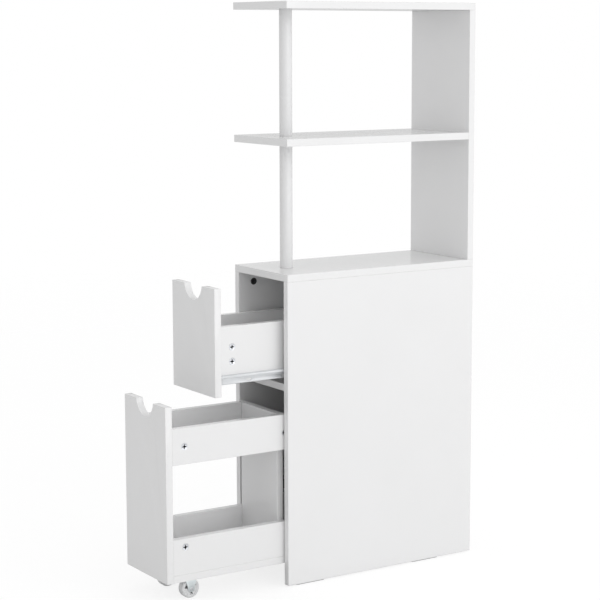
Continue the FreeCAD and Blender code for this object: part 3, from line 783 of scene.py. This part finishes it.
def makeChannels(name, node, tab):
    # web on the side panel, track under the roller and a roof over it, with a tab or a stop in front
    low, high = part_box("right_" + node)
    half = slideShape["sheet"] / 2
    wall, lip = high.x - half, low.x
    foot, top = low.z + half, low.z + slideShape["channelHeight"] - half
    front = low.y if tab else low.y + half
    roofStart = low.y + tab
    strip = addStrip("right" + name, lip, wall, front, high.y, foot)
    if tab:
        editAll(strip)
        bpy.ops.mesh.bisect(plane_co=(0, roofStart, 0), plane_no=(0, 1, 0))
    pick(strip, "EDGE", lambda a, b: min(a.x, b.x) > wall - hair)
    extrude((0, 0, top - foot))
    pick(strip, "EDGE", lambda a, b: min(a.z, b.z) > top - hair and min(a.y, b.y) > roofStart - hair)
    extrude((lip - wall, 0, 0))
    if tab:
        pick(strip, "EDGE", lambda a, b: min(a.z, b.z) > top - hair and max(a.y, b.y) < roofStart + hair)
        extrude((0, 0, high.z - top))
        roundFolds(strip, [(wall, foot)])
    else:
        pick(strip, "EDGE", lambda a, b: max(a.y, b.y) < front + hair and min(a.x, b.x) > wall - hair)
        extrude((lip - wall, 0, 0))
        roundFolds(strip, [(wall, foot), (wall, top)])
    middle = (foot + top) / 2
    cutters = [holeCutter((wall, y, middle), xAxis) for y in screwStops(low.y, high.y)]
    for share in slideShape["channelSlots"]:
        cutters.append(slotCutter((wall, low.y + share * (high.y - low.y), middle), yAxis, xAxis))
    finishSheet(strip, cutters)
    finishPair(strip, name, "carcass", finishes["slide"], node, slideShape["smooth"])


makeDrawerSlides()
makeChannels("CabinetSlide", "cabinet_slide", slideShape["tabLength"])
makeChannels("GuideChannel", "guide_channel", 0)
print("slides and guide channels made")


# nylon rollers and their pins
rollerShape = {"steps": 56, "shoulder": 0.0006, "shoulderSteps": 3, "rim": 0.0016, "dish": 0.0006,
               "hub": 0.0016}
pinShape = {"radius": 0.002, "shoulder": 0.003, "head": 0.0006, "gap": 0.0001, "steps": 32,
            "ease": 0.00012}
bracketShape = {"sheet": 0.0015, "width": 0.034, "height": 0.036, "ear": 0.01, "corner": 0.003,
                "cornerSteps": 4, "ease": 0.0003, "screwInset": 0.008}


def makeRollers():
    low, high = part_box("right_drawer_roller")
    model = addRod("rollerModel", (0, 0, 0), xAxis, (high.z - low.z) / 2, high.x - low.x,
                   rollerShape["steps"])
    pick(model, "EDGE", lambda a, b: abs(a.x - b.x) < hair)
    roundPicked(rollerShape["shoulder"], rollerShape["shoulderSteps"])
    pick(model, "FACE", lambda place, normal: abs(normal.x) > steep and place.yz.length < hair)
    inset(rollerShape["rim"])
    inset(rollerShape["dish"] / 2, -rollerShape["dish"])
    inset(rollerShape["hub"])
    inset(rollerShape["dish"] / 2, rollerShape["dish"])
    leaveEdit()
    for side in sides:
        for kind in ("cabinet", "drawer", "guide"):
            node = side + "_" + kind + "_roller"
            place = Matrix.Translation(middleOf(node))
            roller = copyTo(model, side + kind.capitalize() + "Roller", place)
            finish(roller, node, finishes["nylon"], [node])
    bpy.data.objects.remove(model)


def makePins(kind, body, seat, sheet, way):
    # a rivet from its seat through the roller, shouldered against its sheet and headed beyond
    low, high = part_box("right_" + kind + "_roller")
    middle = (low + high) / 2
    entry, leave = (low.x, high.x) if way > 0 else (high.x, low.x)
    headStart = leave + way * pinShape["gap"]

    def rodBetween(name, start, end, radius):
        place = ((start + end) / 2, middle.y, middle.z)
        return addRod(name, place, xAxis, radius, abs(end - start), pinShape["steps"])

    collar = rodBetween("collar", seat + way * sheet, entry - way * pinShape["gap"], pinShape["shoulder"])
    head = rodBetween("head", headStart, headStart + way * pinShape["head"], pinShape["shoulder"])
    pin = rodBetween("pin", seat, headStart + way * pinShape["head"] / 2, pinShape["radius"])
    combine(pin, [collar, head], "UNION")
    easeEdges(pin, pinShape["ease"])
    pins = joinAll(kind + "RollerPins", [pin, copyTo(pin, "pin", mirrorX)])
    finish(pins, body, finishes["screw"], [kind + "_roller_pins"])


def roundedArm(name, centre, tip, thickness, rootHalf, root, along):
    # a disc across X whose half towards the root is drawn out to a straight end
    disc = addRod(name, centre, xAxis, tip, thickness)
    middle = Vector(centre)
    pick(disc, "VERT", lambda place: (place - middle).dot(along) > hair)
    flat = [0 if part else 1 for part in along]
    broad = [1, rootHalf / tip, rootHalf / tip]
    bpy.ops.transform.resize(value=[a * b for a, b in zip(flat, broad)], center_override=middle)
    bpy.ops.transform.translate(value=along * root)
    leaveEdit()
    return disc


def makeBrackets():
    low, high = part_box("guide_brackets")
    middle = middleOf("right_guide_roller")
    edge, sheet = high.x, bracketShape["sheet"]
    flange = addBlock("flange", (edge - bracketShape["width"], low.y, low.z),
                      (edge, low.y + sheet, high.z))
    pick(flange, "EDGE", lambda a, b: abs(a.y - b.y) > hair and a.x < edge - hair)
    roundPicked(bracketShape["corner"], bracketShape["cornerSteps"])
    ear = roundedArm("ear", (edge - sheet / 2, middle.y, middle.z), bracketShape["ear"], sheet,
                     bracketShape["ear"], middle.y - low.y, -yAxis)
    combine(flange, [ear], "UNION")
    easeEdges(flange, bracketShape["ease"])
    pair = joinAll("guideBrackets", [flange, copyTo(flange, "flange", mirrorX)])
    # the near-black bracket finish is painted shade for the slit beside the pull-out
    finish(pair, "pullout", finishes["bracket"], ["guide_brackets"])


makeRollers()
makePins("cabinet", "carcass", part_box("right_cabinet_slide")[1].x, slideShape["sheet"], -1)
makePins("drawer", "drawer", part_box("drawer_right_side")[1].x, slideShape["sheet"], 1)
makePins("guide", "pullout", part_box("guide_brackets")[1].x - bracketShape["sheet"],
         bracketShape["sheet"], 1)
makeBrackets()
print("rollers and guide brackets made")


# casters
casterShape = {"steps": 72, "tread": 0.0032, "treadSteps": 5, "rim": 0.0022, "dish": 0.0008,
               "wall": 0.0004, "hub": 0.0062, "hubRise": 0.0008, "sector": 24, "pocket": 8,
               "pocketTurn": 20, "pocketInset": 0.0007, "pocketDepth": 0.0045, "wheelEase": 0.0002,
               "wheelAngle": 50, "plate": 0.002, "plateInset": 0.0004, "plateLength": 0.047,
               "plateCorner": 0.004, "cornerSteps": 4, "leg": 0.0015, "play": 0.001, "legTop": 0.029,
               "tip": 0.007, "ease": 0.0003, "axle": 0.0025, "axleSteps": 40, "rivet": 0.004,
               "rivetHeight": 0.0015, "rivetRound": 0.0009, "screwInset": 0.005, "screwSpread": 0.0065}


def makeWheels():
    low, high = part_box("right_caster_wheel")
    centre = (low + high) / 2
    radius = (high.z - low.z) / 2
    wheel = addRod("rightCasterWheel", centre, xAxis, radius, high.x - low.x, casterShape["steps"])
    pick(wheel, "EDGE", lambda a, b: abs(a.x - b.x) < hair)
    roundPicked(casterShape["tread"], casterShape["treadSteps"])
    pick(wheel, "FACE", lambda place, normal:
         abs(normal.x) > steep and (place.yz - centre.yz).length < hair)
    inset(casterShape["rim"])
    inset(casterShape["wall"], -casterShape["dish"])
    dishRadius = radius - casterShape["tread"] - casterShape["rim"] - casterShape["wall"]
    inset(dishRadius - casterShape["hub"])
    inset(casterShape["wall"], casterShape["hubRise"])
    leaveEdit()
    ringRadius = (dishRadius + casterShape["hub"]) / 2

    def onPocket(place, normal):
        out = place.yz - centre.yz
        if abs(normal.x) < steep or abs(out.length - ringRadius) > casterShape["wall"]:
            return False
        turn = math.floor(math.atan2(out.y, out.x) / math.tau * casterShape["steps"])
        return (turn + casterShape["pocketTurn"]) % casterShape["sector"] < casterShape["pocket"]

    pick(wheel, "FACE", onPocket)
    inset(casterShape["pocketInset"])
    inset(casterShape["wall"] / 2, -casterShape["pocketDepth"])
    leaveEdit()
    easeEdges(wheel, casterShape["wheelEase"], 2, casterShape["wheelAngle"])
    finishPair(wheel, "CasterWheel", None, finishes["wheel"], "caster_wheel")
    return centre, (high.x - low.x) / 2 + casterShape["play"] + casterShape["leg"]


def makeForks(centre, half):
    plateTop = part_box("pullout_base")[0].z
    plateFoot = plateTop - casterShape["plate"]
    length = casterShape["plateLength"]
    plateHalf = half - casterShape["plateInset"]
    fork = addBlock("fork", (centre.x - plateHalf, centre.y - length / 2, plateFoot),
                    (centre.x + plateHalf, centre.y + length / 2, plateTop))
    pick(fork, "EDGE", lambda a, b: abs(a.z - b.z) > hair)
    roundPicked(casterShape["plateCorner"], casterShape["cornerSteps"])
    legs = []
    for way in (-1, 1):
        place = centre + xAxis * way * (half - casterShape["leg"] / 2)
        legs.append(roundedArm("leg", place, casterShape["tip"], casterShape["leg"],
                               casterShape["legTop"] / 2,
                               plateFoot - centre.z + casterShape["plate"] / 2, zAxis))
    combine(fork, legs, "UNION")
    easeEdges(fork, casterShape["ease"])
    forks = joinAll("casterForks", [fork, copyTo(fork, "fork", mirrorX)])
    finish(forks, "pullout", finishes["fork"], ["caster_forks"])


def makeAxles(centre, half):
    axle = addRod("axle", centre, xAxis, casterShape["axle"], 2 * half, casterShape["axleSteps"])
    heads = []
    for way in (-1, 1):
        place = centre + xAxis * way * (half + casterShape["rivetHeight"] / 2)
        head = addRod("rivet", place, xAxis, casterShape["rivet"], casterShape["rivetHeight"],
                      casterShape["axleSteps"])
        pick(head, "EDGE", lambda a, b: min(way * (a.x - place.x), way * (b.x - place.x)) > hair)
        roundPicked(casterShape["rivetRound"], casterShape["cornerSteps"])
        leaveEdit()
        heads.append(head)
    combine(axle, heads, "UNION")
    axles = joinAll("casterAxles", [axle, copyTo(axle, "axle", mirrorX)])
    finish(axles, "pullout", finishes["screw"], ["caster_axles"])


def placePanScrews(centre):
    panels, members, under = [], [], []
    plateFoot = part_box("pullout_base")[0].z - casterShape["plate"]
    reach = casterShape["plateLength"] / 2 - casterShape["screwInset"]
    rise = bracketShape["height"] / 2 - bracketShape["screwInset"]
    for side, sign in sides.items():
        for kind, roller in (("cabinet_slide", "drawer_roller"), ("guide_channel", "guide_roller")):
            low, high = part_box(side + "_" + kind)
            wall = (high.x if sign > 0 else low.x) - sign * slideShape["sheet"]
            z = middleOf(side + "_" + roller).z
            panels += [((wall, y, z), -xAxis * sign) for y in screwStops(low.y, high.y)]
        low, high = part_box(side + "_drawer_slide")
        x = middleOf("drawer_" + side + "_side").x
        members += [((x, y, low.z), -zAxis) for y in screwStops(low.y, high.y)]
        for dx in (-casterShape["screwSpread"], casterShape["screwSpread"]):
            for dy in (-reach, reach):
                under.append(((sign * centre.x + dx, centre.y + dy, plateFoot), -zAxis))
        low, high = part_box("guide_brackets")
        middle = middleOf(side + "_guide_roller").z
        for inward in (bracketShape["width"] - bracketShape["screwInset"], 2 * bracketShape["screwInset"]):
            for z in (middle - rise, middle + rise):
                under.append(((sign * (high.x - inward), low.y + bracketShape["sheet"], z), yAxis))
    for name, node, body, places in (("cabinetSlideScrews", "cabinet_slide_screws", "carcass", panels),
                                     ("drawerSlideScrews", "drawer_slide_screws", "drawer", members),
                                     ("pulloutPanScrews", "pullout_pan_screws", "pullout", under)):
        finish(spread(models["pan"], name, places), body, finishes["screw"], [node])


wheelCentre, forkHalf = makeWheels()
makeForks(wheelCentre, forkHalf)
makeAxles(wheelCentre, forkHalf)
placePanScrews(wheelCentre)
for model in models.values():  # their copies are in place
    bpy.data.objects.remove(model)
print("casters and pan screws made")


# floor, light and camera
stageLook = {"size": 14.0, "drop": -0.0004, "pale": (0.85, 0.85, 0.85), "cloudScale": 2.0,
             "cloudShare": 0.99, "rough": 0.9, "lift": 0.74, "white": 1.1, "fadeFrom": 2.2, "fadeTo": 5.0}
worldLook = {"bright": 1.28, "dims": [{"way": (0, -1, 0), "level": 0.65, "from": 0.0, "to": 0.85},
                                     {"way": (-0.93, 0.37, 0), "level": 0.64, "from": 0.2, "to": 0.95},
                                     {"way": (0, 0, -1), "level": 0.82, "from": -0.14, "to": -0.04},
                                     {"way": (0, 0, 1), "level": 0.6, "from": 0.2, "to": 0.85}]}
lamps = {
    "rightSoftbox": {"place": (3.2, 0.6, 1.2), "aim": (0, 0.1, 0.6), "size": 2.4, "power": 17.0},
    "topSoftbox": {"place": (-0.1, 0.0, 3.4), "aim": (0, 0.1, 0.6), "size": 2.2, "power": 8.0},
}
cameraLook = {"place": (3.1226, -2.0072, 1.1287), "yaw": 56.819, "pitch": -7.951, "roll": -0.074,
              "lens": 106.73, "sensor": 36.0, "shift": (-0.0254, -0.0228)}


def makeFloor():
    clearSelection()
    bpy.ops.mesh.primitive_plane_add(size=stageLook["size"], location=(0, 0, stageLook["drop"]))
    floor = settle("floor")
    material, tree, shader, place = newFinish("floorPale")
    shader.inputs["Roughness"].default_value = stageLook["rough"]
    shader.inputs["Specular IOR Level"].default_value = 0.0
    clouds = mottle(tree, place, stageLook["cloudScale"])
    pale = stageLook["pale"]
    dull = [stageLook["cloudShare"] * part for part in pale]
    tree.links.new(blendColours(tree, clouds, pale, dull), shader.inputs["Base Color"])
    far = addNode(tree, "ShaderNodeVectorMath", {0: place}, operation="LENGTH")
    fade = addNode(tree, "ShaderNodeMapRange", {
        "Value": far.outputs["Value"], "From Min": stageLook["fadeFrom"], "From Max": stageLook["fadeTo"]})
    white = addNode(tree, "ShaderNodeEmission", {"Strength": stageLook["white"]}).outputs[0]
    clear = addNode(tree, "ShaderNodeBsdfTransparent").outputs[0]
    seen = addNode(tree, "ShaderNodeLightPath").outputs["Is Camera Ray"]
    share = valueMath(tree, "MULTIPLY", seen, stageLook["lift"])
    lifted = addNode(tree, "ShaderNodeMixShader", {0: share, 1: shader.outputs[0], 2: white})
    both = addNode(tree, "ShaderNodeMixShader", {0: fade.outputs[0], 1: lifted.outputs[0], 2: clear})
    tree.links.new(both.outputs[0], tree.nodes["Material Output"].inputs["Surface"])
    floor.data.materials.append(material)


def makeWorld():
    world = bpy.data.worlds.new("studio")
    bpy.context.scene.world = world
    world.use_nodes = True
    tree = world.node_tree
    way = addNode(tree, "ShaderNodeTexCoord").outputs["Generated"]
    level = worldLook["bright"]
    for dim in worldLook["dims"]:
        toward = addNode(tree, "ShaderNodeVectorMath", {0: way, 1: dim["way"]}, operation="DOT_PRODUCT")
        share = addNode(tree, "ShaderNodeMapRange", {
            "Value": toward.outputs["Value"], "From Min": dim["from"], "From Max": dim["to"],
            "To Min": 1.0, "To Max": dim["level"]}, interpolation_type="SMOOTHSTEP")
        level = valueMath(tree, "MULTIPLY", share.outputs[0], level)
    backdrop = addNode(tree, "ShaderNodeLightPath").outputs["Is Camera Ray"]
    tree.links.new(valueMath(tree, "MAXIMUM", level, backdrop), tree.nodes["Background"].inputs["Color"])


def makeLamps():
    for name, look in lamps.items():
        clearSelection()
        place = Vector(look["place"])
        aim = (Vector(look["aim"]) - place).to_track_quat("-Z", "Y").to_euler()
        bpy.ops.object.light_add(type="AREA", location=place, rotation=aim)
        lamp = bpy.context.object
        lamp.name = name
        lamp.data.size = look["size"]
        lamp.data.energy = look["power"]


def makeCamera():
    data = bpy.data.cameras.new("studioCamera")
    camera = bpy.data.objects.new("studioCamera", data)
    bpy.context.scene.collection.objects.link(camera)
    # an unturned camera looks straight down, so level is a quarter turn
    turn = (Matrix.Rotation(math.radians(cameraLook["yaw"]), 4, "Z")
            @ Matrix.Rotation(math.pi / 2 + math.radians(cameraLook["pitch"]), 4, "X")
            @ Matrix.Rotation(math.radians(cameraLook["roll"]), 4, "Z"))
    camera.matrix_world = Matrix.Translation(cameraLook["place"]) @ turn
    data.sensor_width = cameraLook["sensor"]
    data.lens = cameraLook["lens"]
    data.shift_x, data.shift_y = cameraLook["shift"]
    bpy.context.scene.camera = camera


makeFloor()
makeWorld()
makeLamps()
makeCamera()
bpy.context.scene.view_settings.view_transform = "Standard"
print("stage made")
